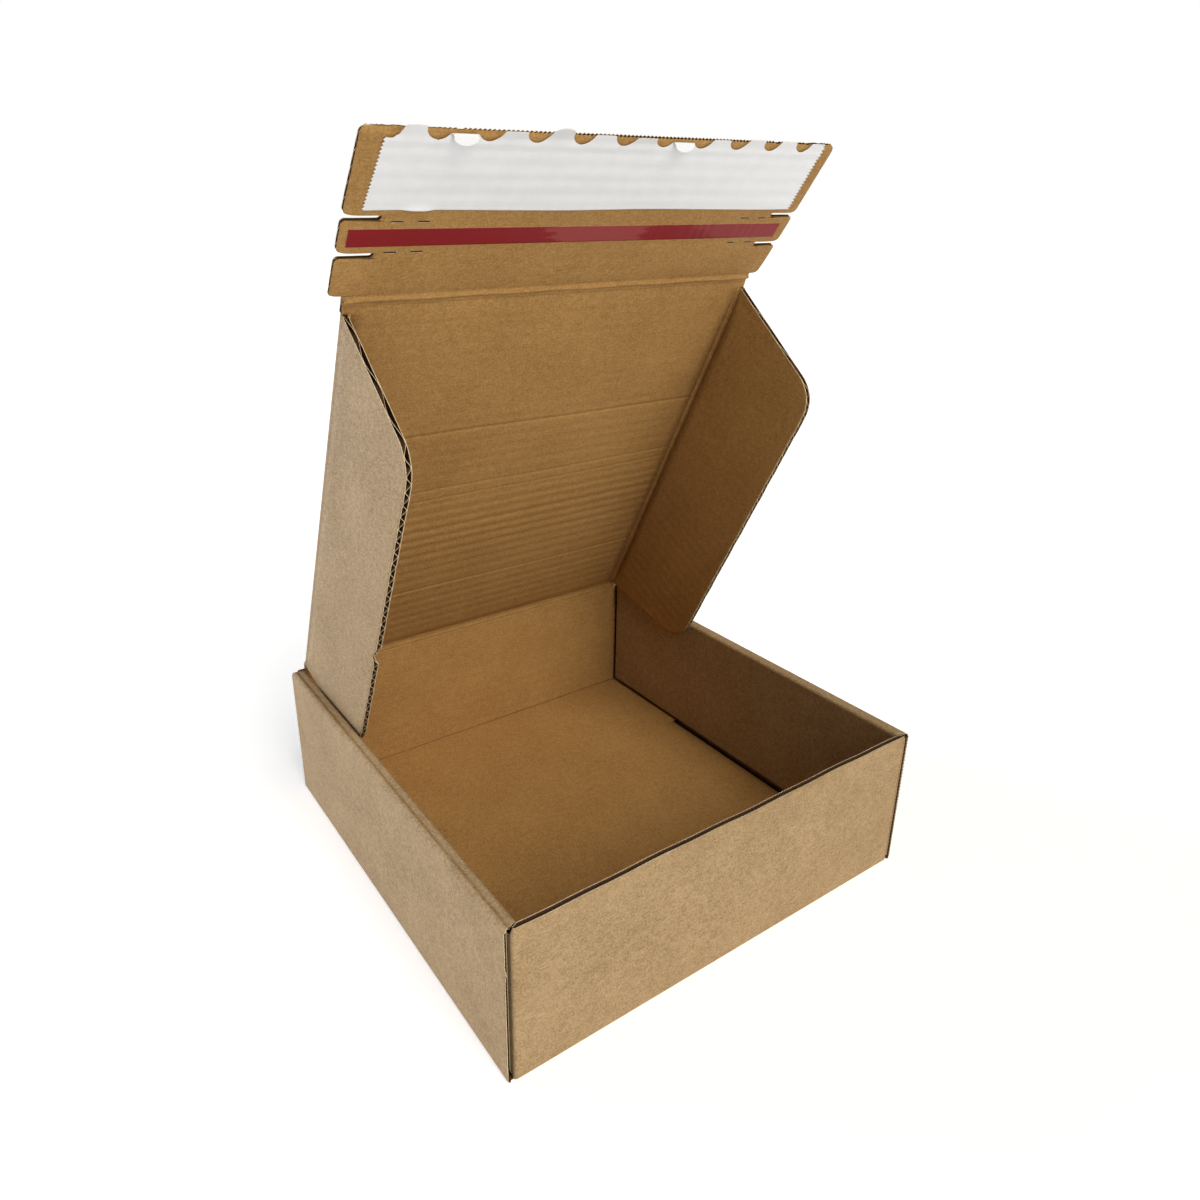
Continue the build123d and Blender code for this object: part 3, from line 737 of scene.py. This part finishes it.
# ---------------------------------------------------------------- closing strip
# Band of hot-melt adhesive near the flap's free edge, under a siliconised paper liner
# that is pulled off to close the box. The liner's edge is scalloped to give finger tabs.
GLUE_LOW, GLUE_HIGH, GLUE_HALF = 44.7, 68.7, 109.5   # edges from the crease, half length


def hot_melt():
    """Pale translucent pressure-sensitive adhesive: soft gloss, colour of thin honey."""
    material, tree, place = bare_material("hot_melt")
    swirl = add(tree, "TexNoise", Vector=place, Scale=1 / 0.004, Detail=2.0)
    bump = add(tree, "Bump", Height=swirl.outputs[0], Strength=0.3, Distance=0.0003)
    shader = add(tree, "BsdfPrincipled", Base_Color=linear("#D9C9A0"), Normal=bump.outputs[0],
                 Roughness=0.25, IOR=1.48)
    add(tree, "OutputMaterial", Surface=shader.outputs[0])
    return material


glue_d, glue_x = np.meshgrid(spaced(GLUE_LOW, GLUE_HIGH, 2), spaced(-GLUE_HALF, GLUE_HALF, 4),
                             indexing="ij")
band = surface(flap_place, glue_d, glue_x, 0.09 + flap_face(glue_d, glue_x))
sheet("closing_adhesive", band, hot_melt(), "front_flap", 0.14,
      node="closure_adhesive")


def liner_paper():
    """Bleached glassine with a silicone coat: white, smooth, faintly cloudy."""
    material, tree, place = bare_material("siliconised_paper")
    clouds = add(tree, "TexNoise", Vector=place, Scale=1 / 0.006, Detail=3.0, Roughness=0.55)
    colour = add(tree, "Mix", {"data_type": "RGBA"}, Factor=clouds.outputs[0],
                 input6=linear("#E2E3E4"), input7=linear("#EDEFF1"))
    bump = add(tree, "Bump", Height=clouds.outputs[0], Strength=0.1, Distance=0.0003)
    shader = add(tree, "BsdfPrincipled", Base_Color=colour.outputs[2], Normal=bump.outputs[0],
                 Roughness=0.45, IOR=1.5)
    add(tree, "OutputMaterial", Surface=shader.outputs[0])
    return material


LINER_LOW, LINER_HALF = 42.2, 111.9     # lower edge from the crease, half length
SCALLOP_PITCH, SCALLOP_SHIFT, SCALLOP_RADIUS, SCALLOP_MIDDLE = 20.55, -7.3, 5.4, 78.1
LIP = 72.0                              # from here up the paper is free of the glue
liner_x = spaced(-LINER_HALF, LINER_HALF, 0.5)
from_scallop = (liner_x - SCALLOP_SHIFT + SCALLOP_PITCH / 2) % SCALLOP_PITCH - SCALLOP_PITCH / 2
lobe = np.floor((liner_x - SCALLOP_SHIFT) / SCALLOP_PITCH).astype(int)
lobe_share = ((liner_x - SCALLOP_SHIFT) / SCALLOP_PITCH) % 1
# lobes are numbered from the scallop nearest the middle; most stand a little above the lip
lobe_height = {-5: 6.4, -4: 8.0, -3: 5.6, -2: 8.6, 1: 7.4, 3: 6.3, 4: 5.6}
tall = np.array([lobe_height.get(int(number), 5.2) for number in lobe])
# tall lobes are half rounds; the others have a broad top and slope less at their ends
fall = np.where(tall > 6.5, tall - 0.3, np.where(tall > 6, 3.2, 0.6))
crown = LIP + tall - fall * np.abs(2 * lobe_share - 1) ** np.where(tall > 6.5, 2.0, 2.8)
dip = SCALLOP_MIDDLE - np.sqrt(np.clip(SCALLOP_RADIUS ** 2 - from_scallop ** 2, 0, None))
liner_top = np.where(np.abs(from_scallop) < SCALLOP_RADIUS, np.minimum(crown, dip), crown)
# rows a quarter of a pinked tooth apart, so that each tooth keeps its points
liner_d = np.linspace(LINER_LOW, LIP, 75)[:, None]
free = np.linspace(0, 1, 22)[1:, None]
free_d = LIP + free * (liner_top - LIP)[None, :]
liner_d = np.concatenate([np.repeat(liner_d, len(liner_x), 1), free_d])
liner_x2 = np.repeat(liner_x[None], len(liner_d), 0)
# free lobes curl: an arc of constant curvature from the lip, tighter where folded over
folded = {-4: 2.7, -3: 0.25, -2: 0.35, 0: 0.3, 1: 2.6, 3: 0.2, 4: 0.1}
bend = np.array([folded.get(int(number), 0.12) for number in lobe])
fold_at = np.array([{-4: 3.0, 1: 2.8, -2: 1.5}.get(int(number), 1.0) for number in lobe])
curl = np.array([{-4: 0.5, 1: 0.5, -2: 7.0}.get(int(number), 4.0) for number in lobe])
run = np.clip(liner_d - LIP, 0, None)
angle = np.clip((run - fold_at) / curl, 0, bend)
past = np.clip(run - fold_at - curl * bend, 0, None)
straight = np.minimum(run, fold_at)
flat_d = np.where(liner_d > LIP, LIP + straight + curl * np.sin(angle) + past * np.cos(bend), liner_d)
raised = curl * (1 - np.cos(angle)) + past * np.sin(bend)
# the cut ends are pinked and run slightly askew; the paper follows the flutes below it
pinking = (LIP - LINER_LOW) / 18.5      # pitch of the pinked teeth
zigzag = 0.45 * (4 * np.abs(((liner_d - LINER_LOW) / pinking) % 1 - 0.5) - 1)
to_left = np.clip((-liner_x2 - 96) / (LINER_HALF - 96), 0, 1)
to_right = np.clip((liner_x2 - 96) / (LINER_HALF - 96), 0, 1)
liner_x2 = (liner_x2 + to_left * (0.5 + 0.06 * (liner_d - LINER_LOW) + zigzag)
            + to_right * (-1.4 - 0.02 * (liner_d - LINER_LOW) + 1.8 * zigzag))
lower = np.clip((liner_d - LINER_LOW) / 6, 0, 1)
flat_d = flat_d + (1 - lower) * 0.25 * np.sin(liner_x2 * 0.055)
waves = (0.06 * np.cos(2 * np.pi * liner_d / FLUTE)
         + 0.05 * np.sin(liner_x2 * 0.11) * np.sin(liner_d * 0.4))
lifted = (0.9 * np.exp(-((liner_x2 + 89) / 5.5) ** 4)
          * np.clip(1 - (liner_d - LINER_LOW) / 4, 0, 1) ** 2)
over = np.clip((liner_d - GLUE_HIGH) / 3, 0, 1) * np.clip((LIP + 2 - liner_d) / 3, 0, 1)
loose = over * (0.15 + 0.2 * np.sin(liner_x2 * 0.17 + 1) ** 2)
height = 0.24 + flap_face(liner_d, liner_x2) + waves + lifted + loose + raised
sheet("release_liner_paper", surface(flap_place, flat_d, liner_x2, height),
      liner_paper(), "front_flap", 0.08, node="release_liner")

# ---------------------------------------------------------------- studio
# Pale floor under a white sky, with large soft lights overhead and in front, and a
# cooler one low at the back left, like a window.
floor_mesh = bpy.data.meshes.new("studio_floor")
floor_mesh.from_pydata([(-8, -8, 0), (8, -8, 0), (8, 8, 0), (-8, 8, 0)], [], [(0, 1, 2, 3)])
studio_floor = bpy.data.objects.new("studio_floor", floor_mesh)
bpy.context.scene.collection.objects.link(studio_floor)
pale = bpy.data.materials.new("pale_floor")
pale.use_nodes = True
tree = pale.node_tree
shader = tree.nodes["Principled BSDF"]
shader.inputs["Base Color"].default_value = linear("#FAFAF8")
shader.inputs["Roughness"].default_value = 0.9
shader.inputs["Emission Color"].default_value = linear("#FFFFFF")
# paper white to the eye, and a softer glow on the box than that white would give
glow = add(tree, "Math", {"operation": "MULTIPLY_ADD"}, input1=0.10, input2=0.26,
           input0=add(tree, "LightPath").outputs["Is Camera Ray"])
tree.links.new(glow.outputs[0], shader.inputs["Emission Strength"])
floor_mesh.materials.append(pale)

world = bpy.data.worlds.new("sky")
bpy.context.scene.world = world
world.use_nodes = True
sky = world.node_tree
fill = sky.nodes["Background"]
fill.inputs["Color"].default_value = linear("#FBFDFF")
fill.inputs["Strength"].default_value = 0.15
backdrop = sky.nodes.new("ShaderNodeBackground")
backdrop.inputs["Color"].default_value = linear("#FFFFFF")
seen = sky.nodes.new("ShaderNodeMixShader")
sky.links.new(sky.nodes.new("ShaderNodeLightPath").outputs["Is Camera Ray"], seen.inputs[0])
sky.links.new(fill.outputs[0], seen.inputs[1])
sky.links.new(backdrop.outputs[0], seen.inputs[2])
sky.links.new(seen.outputs[0], sky.nodes["World Output"].inputs[0])
bpy.context.scene.view_settings.view_transform = "Standard"


def soft_light(name, toward, spread, strength, colour):
    """Distant soft box: toward points at it, spread is its width in degrees."""
    light = bpy.data.lights.new(name, "SUN")
    light.angle = math.radians(spread)
    light.energy = strength
    light.color = linear(colour)[:3]
    lamp = bpy.data.objects.new(name, light)
    lamp.rotation_euler = Vector(toward).to_track_quat("Z", "Y").to_euler()
    bpy.context.scene.collection.objects.link(lamp)


soft_light("overhead_light", (0.08, -0.66, 0.75), 40, 2.05, "#FFFBF4")
soft_light("front_light", (0.05, -0.9, 0.34), 36, 0.75, "#FFF9F0")
soft_light("window_light", (-0.6, 0.77, 0.22), 26, 2.9, "#E4EDFF")
